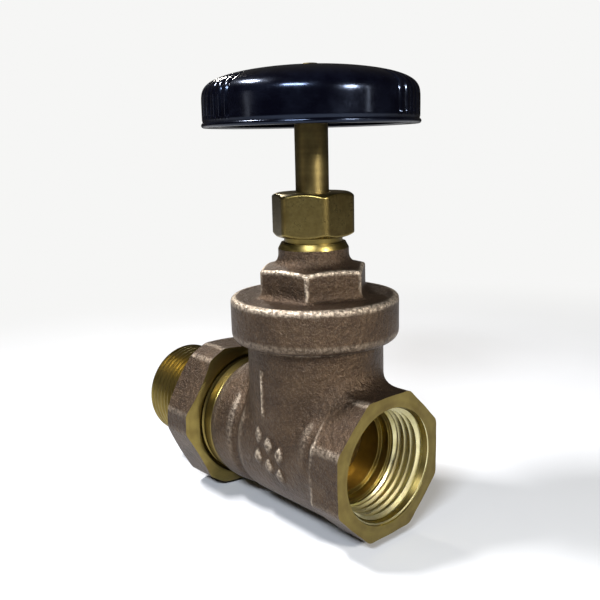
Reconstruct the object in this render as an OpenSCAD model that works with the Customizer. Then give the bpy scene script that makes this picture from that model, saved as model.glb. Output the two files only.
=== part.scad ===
// Gate valve for 1 inch taper pipe thread: non-rising stem, screw-over bonnet, union on the outlet.
// The origin is the centre of the inlet's end face. +X runs along the pipe, out of the inlet,
// and +Z runs up the stem. Pieces are drawn about the crossing of the pipe and the stem, and moved once.

/* [Flow passage] */
// Radius of the port through the seats
port_r = 12; // [9:0.5:15]
// Width of each seat's land
seat_w = 1.4; // [1:0.1:2.5]
// Half thickness of the wedge on the pipe's axis
wedge_half = 7; // [6.6:0.1:9]
// Slope of each wedge face, in degrees
wedge_slope = 5; // [3:0.5:6]

/* [Body] */
// Wall of the body casting
body_wall = 3.65; // [2.5:0.05:5]
// Wall between the seat chamber and the end of each port
seat_wall = 4.9; // [3:0.1:7]
// Radius of the inlet's internal thread at its pitch line
inlet_thread_r = 15.7; // [13.5:0.1:19]
// Length of the inlet's internal thread
inlet_thread_len = 12.4; // [10:0.1:18]
// Length of the plain counterbore behind the inlet thread
inlet_relief_len = 2.7; // [2:0.1:4]
// Wall of the octagonal inlet end at its flats
inlet_wall = 4.3; // [3:0.1:6]
// Length of the octagonal inlet end
octagon_len = 11; // [8:0.5:14]

/* [Union] */
// Radius of the tailpiece's external thread
tail_thread_r = 16.6; // [14:0.1:20]
// Length of the tailpiece's thread
tail_thread_len = 19.5; // [12:0.5:24]
// Length of the plain tube between the nut and the thread
tail_plain_len = 4.5; // [2:0.5:10]
// Stem axis to the joint face of the body
outlet_reach = 39.5; // [37:0.5:46]
// Length of the body's external union thread
union_thread_len = 8.1; // [6:0.1:9]
// Thickness of the tailpiece's collar
tail_collar_h = 3.9; // [3:0.1:6]
// Step of the tailpiece's collar over the hole in the nut's lip
tail_collar_step = 1.05; // [0.8:0.05:2]
// Thickness of the union nut's lip
nut_lip = 3.1; // [2:0.1:5]
// Wall of the union nut at its flats
nut_wall = 3.5; // [2.5:0.1:5]
// How far the union nut's flat corners stand past its flats
nut_corner = 1.7; // [1:0.1:3]

/* [Bonnet] */
// Room above the lifted wedge
wedge_room = 2.2; // [1:0.1:5]
// Thickness of the cap's roof
cap_roof = 3.5; // [2.5:0.1:5]
// Whole height of the cap
cap_h = 12.6; // [11:0.1:16]
// Wall of the cap around the body's neck
cap_wall = 4.75; // [3:0.05:7]
// Height of the bonnet's hexagon above the cap
hex_h = 7.9; // [6:0.1:12]
// Wall of the hexagon around the stem retainer
hex_wall = 5.25; // [3:0.05:8]
// Height of the cast neck above the hexagon
neck_h = 6.6; // [4:0.1:10]
// Thickness of the bonnet gasket
gasket_t = 1; // [0.5:0.1:2]

/* [Stem and packing] */
// Radius of the stem
stem_r = 4.7; // [3.8:0.05:6]
// Length of stem thread held by the closed wedge
thread_grip = 7.5; // [6:0.5:12]
// Height of the stem's thrust collar
collar_h = 3; // [2:0.1:5]
// Step of the thrust collar over the stem
collar_step = 2.8; // [1.5:0.1:4]
// Height of the stem retainer
retainer_h = 3.5; // [2.5:0.1:6]
// Width of the packing rings
packing_w = 2.3; // [1.8:0.1:4]
// Height of one packing ring
packing_h = 3; // [2:0.1:4]
// Wall of the stuffing box
box_wall = 1.9; // [1.5:0.1:3]
// Length of the gland's nose
gland_nose = 5.5; // [4:0.1:8]
// Height of the packing nut
packing_nut_h = 12.35; // [9:0.05:14]
// Wall of the packing nut at its flats
packing_nut_wall = 1.68; // [1.4:0.02:4]

/* [Handwheel] */
// Packing nut to the underside of the wheel
wheel_gap = 18; // [8:1:30]
// Radius of the wheel's rim
wheel_r = 29.9; // [24:0.5:40]
// Height of the wheel at its middle
wheel_h = 16.2; // [14:0.1:20]
// Thickness of the wheel's shell
wheel_shell = 3.2; // [2.4:0.1:5]
// Width across the stem's drive square
drive_sq = 6.4; // [5:0.1:6.6]

/* [Hidden] */
$fn = 96;
// Radial clearance of each running fit
run_gap = 0.06;
// Clearance between faces that meet and part
face_gap = 0.1;
// Clearance of the wheel's stud in its washers
stud_gap = 0.1;
// Overlap that makes cutters pass cleanly through
cut = 1;

// Wedge, seats and the chamber they stand in
wedge_r = port_r + seat_w;
lift = port_r + wedge_r;
ear_step = 1.6;
ear_low = 4;
ear_h = 9;
chamber_r = wedge_r + ear_step + 1.2;
chamber_half = wedge_half + 2;
seat_r = wedge_r + 0.6;
rib_w = 3;
rib_gap = 0.25;
body_r = chamber_r + body_wall;

// Inlet end
inlet_relief_r = inlet_thread_r - 2.2;
inlet_af = 2 * (inlet_thread_r + inlet_wall);
octagon_turn = 22.5;
shoulder_x = chamber_half + seat_wall;
inlet_reach = shoulder_x + inlet_relief_len + inlet_thread_len;

// Union
tail_bore_r = port_r;
lip_hole_r = tail_thread_r + 0.55;
tail_collar_r = lip_hole_r + tail_collar_step;
union_thread_r = tail_collar_r + 1;
union_nut_r = union_thread_r + nut_wall;
union_ring_r = union_thread_r + 0.15;
body_collar_r = union_thread_r + 0.6;
union_ring_len = 1.9;
collar_from = 4.5;
collar_to = 7.5;
union_start = outlet_reach - union_thread_len;
nut_open_x = union_start + 1;
nut_lip_x = outlet_reach + tail_collar_h + face_gap;
nut_end_x = nut_lip_x + nut_lip;
tail_end_x = nut_end_x + tail_plain_len + tail_thread_len;
cone_depth = 3;
cone_step = 2.6;
cone_nose = 0.7;
tail_relief = 0.3;
entry_step = 0.9;
entry_len = 0.8;
union_nut_turn = 27;
union_nut_bevel = 1.6;

// Heights of the bonnet, from the pipe's axis
chamber_top = lift + wedge_r + wedge_room;
cap_top = chamber_top + cap_roof;
cap_bottom = cap_top - cap_h;
cap_bore_r = body_r - 0.3;
cap_r = cap_bore_r + cap_wall;
neck_thread_top = chamber_top - gasket_t;
hex_top = cap_top + hex_h;
neck_top = hex_top + neck_h;
cap_low_round = 2.2;
cap_high_round = 1.2;
hex_turn = 10;
hex_bevel = 1.6;
neck_bevel = 0.8;
collar_room = 0.3;

// Stem, retainer and stuffing box
stem_thread_r = stem_r - 0.1;
stem_end = lift - wedge_r;
boss_r = stem_r + 2.8;
boss_top = stem_end + thread_grip;
retainer_r = boss_r + 1.5;
retainer_z = lift + boss_top + 0.6;
collar_r = stem_r + collar_step;
collar_z = retainer_z + retainer_h;
box_floor = collar_z + collar_h + 2.5;
box_r = stem_r + packing_w;
washer_t = 1;
packing_z = box_floor + washer_t;
gland_z = packing_z + 3 * packing_h;
gland_flange_z = gland_z + gland_nose;
gland_flange_h = 1.6;
neck_thread_r = box_r + box_wall;
box_top = gland_flange_z - 0.5;
neck_r = neck_thread_r + 1.2;
hex_af = 2 * (retainer_r + hex_wall);
packing_nut_af = 2 * (neck_thread_r + run_gap + packing_nut_wall);
packing_nut_roof = 2;
packing_nut_top = gland_flange_z + gland_flange_h + face_gap + packing_nut_roof;
packing_nut_z = packing_nut_top - packing_nut_h;
packing_nut_turn = -26;
packing_nut_bevel = 1;
slot_w = 1.6;
slot_h = 1.2;

// Handwheel and what holds it
wheel_z = packing_nut_top + wheel_gap;
wheel_lip_h = 1.5;
wheel_lip_step = 0.3;
wheel_side_h = 5.5;
hub_r = 7.2;
hub_bottom = wheel_z + 3;
hub_h = 9;
hub_top = hub_bottom + hub_h;
recess_r = 10.4;
plate_t = 0.5;
wheel_washer_t = 0.8;
wheel_nut_h = 3;
wheel_nut_af = 8;
stud_r = 2.5;
plate_z = hub_top;
wheel_washer_z = plate_z + plate_t;
wheel_nut_z = wheel_washer_z + wheel_washer_t;
grip_count = 6;
grip_step = 5.4;
grip_r = 0.75;
grip_groups = [19.5, 139.5, 259.5];
wheel_edge_r = 0.7;
hollow_r = hub_r + 3;
hollow_side_h = 5;
stud_end = 0.4;

// Points of an arc about [cx, cy], from angle a0 to a1
function arc(cx, cy, r, a0, a1, n = 5) =
    [for (i = [0 : n]) [cx + r * cos(a0 + (a1 - a0) * i / n), cy + r * sin(a0 + (a1 - a0) * i / n)]];

// Moves a piece from the crossing of the axes to the row's origin
module from_inlet() translate([-inlet_reach, 0, 0]) children();

// Cylinder along X between two places
module along_x(r, x0, x1) translate([min(x0, x1), 0, 0]) rotate([0, 90, 0]) cylinder(r = r, h = abs(x1 - x0));

// Cylinder along Z between two heights
module along_z(r, z0, z1) translate([0, 0, z0]) cylinder(r = r, h = z1 - z0);

// Cone along X between two places
module cone_x(r0, r1, x0, x1) translate([x0, 0, 0]) rotate([0, 90, 0]) cylinder(r1 = r0, r2 = r1, h = x1 - x0);

// Flat ring about Z
module ring(r_out, r_in, z0, z1) difference() {
    along_z(r_out, z0, z1);
    along_z(r_in, z0 - cut, z1 + cut);
}

// Prism of the given sides and width across flats, standing on z = 0
module prism(af, h, sides) cylinder(r = af / 2 / cos(180 / sides), h = h, $fn = sides);

// Hexagon or octagon whose corners are turned off by a cone at one or both ends
module turned_prism(af, h, sides, bevel, low = true, high = true) {
    corner = af / 2 / cos(180 / sides);
    flat = af / 2 + 0.1;
    intersection() {
        prism(af, h, sides);
        union() {
            translate([0, 0, bevel]) cylinder(r = corner + 0.1, h = h - 2 * bevel);
            cylinder(r1 = low ? flat - 0.2 : corner + 0.1, r2 = corner + 0.1, h = bevel);
            translate([0, 0, h - bevel]) cylinder(r1 = corner + 0.1, r2 = high ? flat - 0.2 : corner + 0.1, h = bevel);
        }
    }
}

// Solid between the two sloping seat planes
module between_seats(grow) {
    low = chamber_r + cut;
    high = wedge_r + cut;
    slope = tan(wedge_slope);
    rotate([90, 0, 0])
        translate([0, 0, -chamber_r])
            linear_extrude(2 * chamber_r)
                polygon([
                    [-(wedge_half + grow - low * slope), -low],
                    [wedge_half + grow - low * slope, -low],
                    [wedge_half + grow + high * slope, high],
                    [-(wedge_half + grow + high * slope), high]
                ]);
}

// Room inside the body for the wedge, closed and lifted
module chamber() intersection() {
    along_z(chamber_r, -chamber_r - cut, chamber_top);
    union() {
        along_x(chamber_r - 0.2, -chamber_half, chamber_half);
        translate([-chamber_half, -chamber_r, 0]) cube([2 * chamber_half, 2 * chamber_r, wedge_r + 2]);
        along_z(chamber_r + cut, wedge_r + 1, chamber_top);
    }
}

// Ribs on the chamber's wall that guide the wedge
module guide_ribs() intersection() {
    along_z(chamber_r + 0.5, -wedge_r / 2, neck_thread_top);
    for (side = [-1, 1])
        translate([-rib_w / 2, side > 0 ? wedge_r - 0.4 : -chamber_r - 0.5, -wedge_r / 2])
            cube([rib_w, chamber_r - wedge_r + 0.9, neck_thread_top + wedge_r / 2]);
}

// Seats that stand into the chamber and meet the wedge
module seats() difference() {
    along_x(seat_r, -chamber_half - 0.5, chamber_half + 0.5);
    between_seats(face_gap / 2);
}

module body_casting() {
    along_z(body_r, 0, cap_bottom - face_gap);
    along_x(body_r - 0.05, -union_start + collar_from, inlet_reach - octagon_len + cut);
    along_x(body_collar_r, -union_start + union_ring_len, -union_start + collar_to);
    translate([inlet_reach - octagon_len, 0, 0])
        rotate([0, 90, 0])
            rotate([0, 0, octagon_turn])
                prism(inlet_af, octagon_len, 8);
    along_z(cap_bore_r - run_gap, cap_bottom - cut, neck_thread_top);
    along_x(union_ring_r, -union_start - 0.01, -union_start + union_ring_len + cut);
    along_x(union_thread_r - run_gap, -outlet_reach, -union_start + cut);
}

module body() color("rosybrown") from_inlet() difference() {
    union() {
        difference() {
            body_casting();
            chamber();
        }
        seats();
        guide_ribs();
    }
    along_x(port_r, -outlet_reach - cut, inlet_reach);
    along_x(inlet_relief_r, shoulder_x, inlet_reach);
    along_x(inlet_thread_r, inlet_reach - inlet_thread_len, inlet_reach + cut);
    cone_x(port_r + cone_step + cut, port_r, -outlet_reach - 1.15, -outlet_reach + cone_depth);
}

module bonnet_outside() {
    rotate_extrude()
        polygon(concat(
            [[0, cap_bottom], [cap_r - cap_low_round, cap_bottom]],
            arc(cap_r - cap_low_round, cap_bottom + cap_low_round, cap_low_round, -90, 0),
            arc(cap_r - cap_high_round, cap_top - cap_high_round, cap_high_round, 0, 90),
            [[0, cap_top]]
        ));
    translate([0, 0, cap_top - cut])
        rotate([0, 0, hex_turn])
            turned_prism(hex_af, hex_h + cut, 6, hex_bevel, low = false);
    along_z(neck_r, hex_top - cut, neck_top - neck_bevel);
    translate([0, 0, neck_top - neck_bevel]) cylinder(r1 = neck_r, r2 = neck_r - neck_bevel, h = neck_bevel);
    along_z(neck_thread_r, neck_top - cut, box_top);
}

module bonnet() color("rosybrown") from_inlet() difference() {
    bonnet_outside();
    along_z(cap_bore_r, cap_bottom - cut, chamber_top);
    along_z(retainer_r, chamber_top - cut, collar_z);
    along_z(collar_r + collar_room, collar_z - cut, collar_z + collar_h + 2 * face_gap);
    along_z(stem_r + run_gap, collar_z, box_top + cut);
    along_z(box_r, box_floor, box_top + cut);
}

module bonnet_gasket() color("dimgray") from_inlet()
    ring(cap_bore_r - 0.1, chamber_r, neck_thread_top, chamber_top);

module stem_retainer() color("goldenrod") from_inlet() difference() {
    along_z(retainer_r, retainer_z, collar_z - face_gap / 2);
    along_z(stem_r + run_gap, retainer_z - cut, collar_z + cut);
    for (side = [0, 180])
        rotate([0, 0, side])
            translate([stem_r + slot_w, -slot_w / 2, retainer_z - cut]) cube([retainer_r, slot_w, cut + slot_h]);
}

module packing_washer() color("goldenrod") from_inlet()
    ring(box_r - run_gap, stem_r + run_gap, box_floor, packing_z);

module packing_ring(i) color("black") from_inlet()
    ring(box_r, stem_r + 0.02, packing_z + i * packing_h, packing_z + (i + 1) * packing_h - 0.02);

module packing_ring_1() packing_ring(0);
module packing_ring_2() packing_ring(1);
module packing_ring_3() packing_ring(2);

module packing_gland() color("goldenrod") from_inlet() difference() {
    union() {
        along_z(box_r - run_gap, gland_z, gland_flange_z + 0.1);
        along_z(neck_thread_r - 0.5, gland_flange_z, gland_flange_z + gland_flange_h);
    }
    along_z(stem_r + run_gap, gland_z - cut, packing_nut_top);
}

module packing_nut() color("darkkhaki") from_inlet() difference() {
    translate([0, 0, packing_nut_z])
        rotate([0, 0, packing_nut_turn])
            turned_prism(packing_nut_af, packing_nut_h, 6, packing_nut_bevel);
    along_z(neck_thread_r + run_gap, packing_nut_z - cut, packing_nut_top - packing_nut_roof);
    along_z(stem_r + run_gap, packing_nut_z, packing_nut_top + cut);
}

module stem() color("darkkhaki") from_inlet() {
    along_z(stem_thread_r, stem_end + face_gap, retainer_z - 0.5);
    along_z(stem_r, retainer_z - 0.5, hub_bottom);
    along_z(collar_r, collar_z, collar_z + collar_h);
    translate([-drive_sq / 2, -drive_sq / 2, hub_bottom - cut]) cube([drive_sq, drive_sq, hub_h - stud_end + cut]);
    along_z(stud_r, hub_top - cut, wheel_nut_z + wheel_nut_h + stud_end);
}

module wedge_blank() {
    intersection() {
        between_seats(0);
        along_x(wedge_r, -chamber_half, chamber_half);
    }
    intersection() {
        along_z(boss_r, 0, boss_top);
        union() {
            between_seats(0);
            along_z(boss_r + cut, seat_r + face_gap, boss_top + cut);
        }
    }
    translate([-rib_w / 2 - 2, -wedge_r - ear_step, -ear_low])
        cube([rib_w + 4, 2 * (wedge_r + ear_step), ear_h]);
}

module wedge() color("goldenrod") from_inlet() difference() {
    wedge_blank();
    along_z(stem_thread_r + run_gap, -wedge_r - cut, boss_top + cut);
    for (side = [-1, 1])
        translate([-rib_w / 2 - rib_gap, side > 0 ? wedge_r - 0.7 : -chamber_r - cut, -chamber_r])
            cube([rib_w + 2 * rib_gap, chamber_r - wedge_r + cut + 0.7, 2 * chamber_r]);
}

// Height of the wheel's dome above its underside, at a distance from the axis
function dome(r) = wheel_side_h + (wheel_h - wheel_side_h) * pow(1 - pow(r / wheel_r, 1.53), 0.244);

// Points of the dome from the rim to the axis, closest together at the rim
function dome_line(n = 14) = [for (i = [n : -1 : 0]) let (r = wheel_r * (1 - pow(1 - i / n, 3))) [r, wheel_z + dome(r)]];

module wheel_outside() rotate_extrude() polygon(concat(
    [[0, wheel_z], [wheel_r - 0.6, wheel_z]],
    arc(wheel_r + wheel_lip_step - wheel_edge_r, wheel_z + wheel_edge_r, wheel_edge_r, -60, 60),
    [[wheel_r, wheel_z + wheel_lip_h]],
    dome_line()
));

module wheel_hollow() rotate_extrude() polygon(concat(
    [[hollow_r, wheel_z - cut], [wheel_r - wheel_shell, wheel_z - cut]],
    [[wheel_r - wheel_shell, wheel_z + hollow_side_h], [wheel_r - wheel_shell - 2.5, wheel_z + 8.5]],
    [[hollow_r + 4, wheel_z + 10.8], [hollow_r, wheel_z + 9]]
));

module handwheel() color("#15151d") from_inlet() difference() {
    wheel_outside();
    wheel_hollow();
    along_z(hollow_r + cut, wheel_z - cut, hub_bottom - cut);
    along_z(hub_r, wheel_z - cut, hub_top);
    along_z(recess_r, hub_top, wheel_z + wheel_h + cut);
    for (group = grip_groups)
        for (i = [0 : grip_count - 1])
            rotate([0, 0, group + (i - (grip_count - 1) / 2) * grip_step])
                translate([wheel_r + grip_r * 0.4, 0, wheel_z + 2.5])
                    cylinder(r = grip_r, h = wheel_h, $fn = 16);
}

module wheel_hub() color("silver") from_inlet() difference() {
    along_z(hub_r, hub_bottom, hub_top);
    translate([-drive_sq / 2 - run_gap, -drive_sq / 2 - run_gap, hub_bottom - cut])
        cube([drive_sq + 2 * run_gap, drive_sq + 2 * run_gap, hub_h + 2 * cut]);
}

module wheel_plate() color("silver") from_inlet()
    ring(recess_r - 0.3, stud_r + stud_gap, plate_z, plate_z + plate_t);

module wheel_washer() color("silver") from_inlet()
    ring(wheel_nut_af / 2 + 1.2, stud_r + stud_gap, wheel_washer_z, wheel_washer_z + wheel_washer_t);

module wheel_nut() color("darkkhaki") from_inlet() difference() {
    translate([0, 0, wheel_nut_z]) turned_prism(wheel_nut_af, wheel_nut_h, 6, 0.5, low = false);
    along_z(stud_r + run_gap, wheel_nut_z - cut, wheel_nut_z + wheel_nut_h + cut);
}

module union_nut() color("rosybrown") from_inlet() difference() {
    translate([-nut_end_x, 0, 0])
        rotate([0, 90, 0])
            rotate([0, 0, union_nut_turn])
                intersection() {
                    turned_prism(2 * union_nut_r, nut_end_x - nut_open_x, 6, union_nut_bevel);
                    rotate([0, 0, 30]) prism(2 * (union_nut_r + nut_corner), nut_end_x - nut_open_x, 6);
                }
    along_x(union_thread_r, -nut_lip_x, -nut_open_x + cut);
    along_x(lip_hole_r, -nut_end_x - cut, -nut_open_x);
    cone_x(union_thread_r, union_thread_r + entry_step, -nut_open_x - entry_len, -nut_open_x + 0.01);
}

module tailpiece() color("darkkhaki") from_inlet() difference() {
    union() {
        along_x(tail_thread_r, -tail_end_x, -tail_end_x + tail_thread_len);
        along_x(tail_thread_r - tail_relief, -tail_end_x, -outlet_reach - face_gap);
        along_x(tail_collar_r, -nut_lip_x + face_gap, -outlet_reach - face_gap);
        cone_x(port_r + cone_step, port_r + cone_nose, -outlet_reach - face_gap - 0.01, -outlet_reach + cone_depth - 1);
    }
    along_x(tail_bore_r, -tail_end_x - cut, -outlet_reach + cone_depth + cut);
}

body();
bonnet();
bonnet_gasket();
stem_retainer();
packing_washer();
packing_ring_1();
packing_ring_2();
packing_ring_3();
packing_gland();
packing_nut();
stem();
wedge();
handwheel();
wheel_hub();
wheel_plate();
wheel_washer();
wheel_nut();
union_nut();
tailpiece();
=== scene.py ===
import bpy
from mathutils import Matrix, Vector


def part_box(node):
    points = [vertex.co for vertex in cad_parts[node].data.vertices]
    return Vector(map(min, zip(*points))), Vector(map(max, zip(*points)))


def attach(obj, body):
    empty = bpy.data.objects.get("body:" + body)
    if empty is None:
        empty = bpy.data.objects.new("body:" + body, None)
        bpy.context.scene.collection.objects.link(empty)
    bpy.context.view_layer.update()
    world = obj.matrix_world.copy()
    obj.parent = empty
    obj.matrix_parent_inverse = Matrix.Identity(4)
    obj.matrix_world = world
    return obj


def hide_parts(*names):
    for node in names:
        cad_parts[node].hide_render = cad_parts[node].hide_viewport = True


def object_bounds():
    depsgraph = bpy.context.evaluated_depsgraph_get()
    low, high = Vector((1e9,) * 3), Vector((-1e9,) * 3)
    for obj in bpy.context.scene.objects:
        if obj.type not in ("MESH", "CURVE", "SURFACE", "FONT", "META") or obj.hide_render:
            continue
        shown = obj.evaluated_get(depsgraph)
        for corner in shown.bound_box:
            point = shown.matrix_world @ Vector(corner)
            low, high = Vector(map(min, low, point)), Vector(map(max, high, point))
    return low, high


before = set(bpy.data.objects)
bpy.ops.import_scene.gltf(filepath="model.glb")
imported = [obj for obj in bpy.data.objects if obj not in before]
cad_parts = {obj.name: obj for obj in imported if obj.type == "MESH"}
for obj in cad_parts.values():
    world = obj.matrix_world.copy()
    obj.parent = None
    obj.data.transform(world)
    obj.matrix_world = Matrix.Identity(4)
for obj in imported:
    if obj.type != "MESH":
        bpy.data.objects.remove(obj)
cadBox = [list(corner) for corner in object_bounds()]

import math
from functools import partial
from types import SimpleNamespace

import bmesh
import bpy
import numpy as np
import openvdb
from mathutils import Matrix, Vector

mm = 0.001
stemX = (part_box("stem")[0].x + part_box("stem")[1].x) / 2
# millimetres about the stem -> the row's metres
rowPlace = Matrix.Translation((stemX, 0, 0)) @ Matrix.Scale(mm, 4)
# turns a piece made about Z onto X
alongX = Matrix(((0, 0, 1, 0), (0, 1, 0, 0), (-1, 0, 0, 0), (0, 0, 0, 1)))


def span(node):
    # lowest and highest corner of a CAD node, in millimetres from the stem's foot
    low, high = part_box(node)
    shift = np.array([stemX, 0, 0])
    return (np.array(low) - shift) / mm, (np.array(high) - shift) / mm


bodyLow, bodyHigh = span("body")
bonnetLow, bonnetHigh = span("bonnet")
nutLow, nutHigh = span("union_nut")
packLow, packHigh = span("packing_nut")
wheelLow = span("handwheel")[0]
tailLow, tailHigh = span("tailpiece")
stemLow, stemHigh = span("stem")
wheelNutLow, wheelNutHigh = span("wheel_nut")


def linear(hexColour):
    # sRGB hex to the linear colour that sockets take
    parts = [int(hexColour[i:i + 2], 16) / 255 for i in (1, 3, 5)]
    return [p / 12.92 if p <= 0.04045 else ((p + 0.055) / 1.055) ** 2.4 for p in parts] + [1]


def setNode(node, *inputs, **settings):
    # inputs go to the node's sockets in order; a setting goes to the node itself, or to its socket of
    # that name, with _ for a space. A node or an output is linked, and any other value is set
    named = []
    for name, value in settings.items():
        if hasattr(node, name):
            setattr(node, name, value)
        else:
            named.append((node.inputs[name.replace("_", " ")], value))
    inOrder = zip([socket for socket in node.inputs if socket.enabled], inputs)
    for socket, value in [*inOrder, *named]:
        if isinstance(value, bpy.types.Node):
            value = next(output for output in value.outputs if output.enabled)
        if isinstance(value, bpy.types.NodeSocket):
            node.id_data.links.new(value, socket)
        else:
            socket.default_value = value
    return node


def addNode(tree, kind, *inputs, **settings):
    return setNode(tree.nodes.new(kind), *inputs, **settings)


def newMaterial(name, **settings):
    # the material, its Principled shader and the way to add nodes to it
    material = bpy.data.materials.new(name)
    material.use_nodes = True
    tree = material.node_tree
    return material, setNode(tree.nodes["Principled BSDF"], **settings), partial(addNode, tree)


def turnedPlace(add, axis):
    # (along the axis, out from it, 0): a pattern on this runs in rings, as the tool's feed does
    place = add("ShaderNodeMapping", add("ShaderNodeTexCoord").outputs["Object"], Location=(-stemX, 0, 0))
    x, y, z = add("ShaderNodeSeparateXYZ", place).outputs
    along, one, two = (x, y, z) if axis == "X" else (z, x, y)
    out = add("ShaderNodeVectorMath", add("ShaderNodeCombineXYZ", one, two), operation="LENGTH")
    return add("ShaderNodeCombineXYZ", along, out), place


# in the finishes below, patterns and reliefs are in millimetres

castSkin = {
    "dark": "#33261b",
    "light": "#483828",
    # pale colour of rubbed edges, also used as the painted highlight on upper edges
    "worn": "#ead8bf",
    "patches": 7.0,
    "mottle": 0.9,
    "grain": 0.46,  # the mould sand's print
    "lumps": 1.6,
    "relief": 0.3,  # a little coarse so that it shows
    "rough": 0.47,
    "wornRough": 0.3,
}


def sandCastBronze():
    # leaded bronze from a sand mould: the dull brown skin is finely pimpled; edges are rubbed bright, and
    # upper edges also carry a painted highlight
    s = SimpleNamespace(**castSkin)
    material, shader, add = newMaterial("sandCastBronze", Metallic=0.82)
    place = add("ShaderNodeTexCoord").outputs["Object"]
    patches = add("ShaderNodeTexNoise", place, Scale=1 / (s.patches * mm), Detail=3)
    mottle = add("ShaderNodeTexNoise", place, Scale=1 / (s.mottle * mm), Detail=3, Roughness=0.6)
    grain = add("ShaderNodeTexNoise", place, Scale=1 / (s.grain * mm), Detail=3, Roughness=0.62)
    lumps = add("ShaderNodeTexNoise", place, Scale=1 / (s.lumps * mm))
    # the edge attribute: rubbed edges plus a painted highlight on upper edges
    wearAndHighlight = add("ShaderNodeAttribute", attribute_name="edgeWearAndHighlight").outputs["Fac"]
    patchy = add("ShaderNodeMapRange", add("ShaderNodeMix", 0.5, patches, mottle), 0.38, 0.62)
    skin = add("ShaderNodeMix", patchy, linear(s.dark), linear(s.light), data_type="RGBA")
    tips = add("ShaderNodeMapRange", grain, 0.5, 0.72, 0, 0.06)
    broken = add("ShaderNodeMapRange", mottle, 0.4, 0.6, 0.2, 0.95)
    rubbedAndHighlit = add("ShaderNodeMath", wearAndHighlight, broken, operation="MULTIPLY", use_clamp=True)
    bright = add("ShaderNodeMath", tips, rubbedAndHighlit, operation="MAXIMUM")
    colour = add("ShaderNodeMix", bright, skin, linear(s.worn), data_type="RGBA")
    roughness = add("ShaderNodeMapRange", bright, 0, 1, s.rough, s.wornRough)
    slow = add("ShaderNodeBump", Height=lumps, Distance=s.relief * 1.6 * mm)
    fine = add("ShaderNodeBump", Height=grain, Distance=s.relief * mm, Normal=slow)
    setNode(shader, Base_Color=colour, Roughness=roughness, Normal=fine)
    return material


turnedSkin = {
    "bronze": "#80713f",
    "tarnish": "#64552f",
    "feed": 0.22,  # spacing of the tool's rings, drawn twice as coarse so that they show
    "bands": 1.4,
    "clouds": 5.0,
    "relief": 0.006,
}


def turnedBronze(name, axis, bronze=turnedSkin["bronze"], tarnish=turnedSkin["tarnish"], rough=0.26):
    # bronze cut on a lathe: olive gold with fine rings and a faint, cloudy tarnish
    s = SimpleNamespace(**turnedSkin)
    material, shader, add = newMaterial(name, Metallic=1.0)
    rings, place = turnedPlace(add, axis)
    feed = add("ShaderNodeTexNoise", rings, Scale=1 / (s.feed * mm), Detail=1)
    bands = add("ShaderNodeTexNoise", rings, Scale=1 / (s.bands * mm))
    clouds = add("ShaderNodeTexNoise", place, Scale=1 / (s.clouds * mm), Detail=4, Roughness=0.6)
    stain = add("ShaderNodeMapRange", add("ShaderNodeMix", 0.3, clouds, bands), 0.40, 0.75)
    colour = add("ShaderNodeMix", stain, linear(bronze), linear(tarnish), data_type="RGBA")
    dull = add("ShaderNodeMath", feed, stain, operation="ADD")
    roughness = add("ShaderNodeMapRange", dull, 0.2, 1.6, rough, rough + 0.16)
    slow = add("ShaderNodeBump", Height=bands, Distance=s.relief * 2 * mm)
    fine = add("ShaderNodeBump", Height=feed, Distance=s.relief * mm, Normal=slow)
    setNode(shader, Base_Color=colour, Roughness=roughness, Normal=fine)
    return material


def drawnBrass():
    # hexagon bar as it leaves the die: smooth flats with faint lines along the bar and a few handling marks
    material, shader, add = newMaterial("drawnBrass", Metallic=1.0)
    place = add("ShaderNodeTexCoord").outputs["Object"]
    drawn = add("ShaderNodeMapping", place, Scale=(1, 1, 0.03))
    lines = add("ShaderNodeTexNoise", drawn, Scale=1 / (0.35 * mm))
    clouds = add("ShaderNodeTexNoise", place, Scale=1 / (3.5 * mm), Detail=4, Roughness=0.6)
    marks = add("ShaderNodeTexNoise", place, Scale=1 / (0.7 * mm), Detail=3, Roughness=0.7)
    stain = add("ShaderNodeMapRange", clouds, 0.4, 0.65)
    colour = add("ShaderNodeMix", stain, linear("#70623a"), linear("#594c2a"), data_type="RGBA")
    dull = add("ShaderNodeMath", marks, clouds, operation="ADD")
    fine = add("ShaderNodeBump", Height=lines, Distance=0.006 * mm)
    relief = add("ShaderNodeBump", Height=marks, Distance=0.012 * mm, Normal=fine)
    roughness = add("ShaderNodeMapRange", dull, 0.8, 1.3, 0.27, 0.42)
    setNode(shader, Base_Color=colour, Roughness=roughness, Normal=relief)
    return material


def blackPhenolic():
    # phenolic moulding: near-black and glossy, with a slight ripple and a little dust in its shine
    material, shader, add = newMaterial("blackPhenolic", IOR=1.5, Specular_IOR_Level=0.38,
                                        Specular_Tint=linear("#b9cdf4"))
    place = add("ShaderNodeTexCoord").outputs["Object"]
    ripple = add("ShaderNodeTexNoise", place, Scale=1 / (9 * mm))
    dust = add("ShaderNodeTexNoise", place, Scale=1 / (0.5 * mm), Detail=4, Roughness=0.7)
    smears = add("ShaderNodeTexNoise", place, Scale=1 / (6 * mm), Detail=4, Roughness=0.6)
    smeared = add("ShaderNodeMapRange", smears, 0.4, 0.7)
    colour = add("ShaderNodeMix", smeared, linear("#020206"), linear("#05060d"), data_type="RGBA")
    roughness = add("ShaderNodeMapRange", add("ShaderNodeMix", 0.5, dust, smears), 0.4, 0.65, 0.13, 0.23)
    relief = add("ShaderNodeBump", Height=ripple, Distance=0.12 * mm)
    setNode(shader, Base_Color=colour, Roughness=roughness, Normal=relief)
    return material


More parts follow.
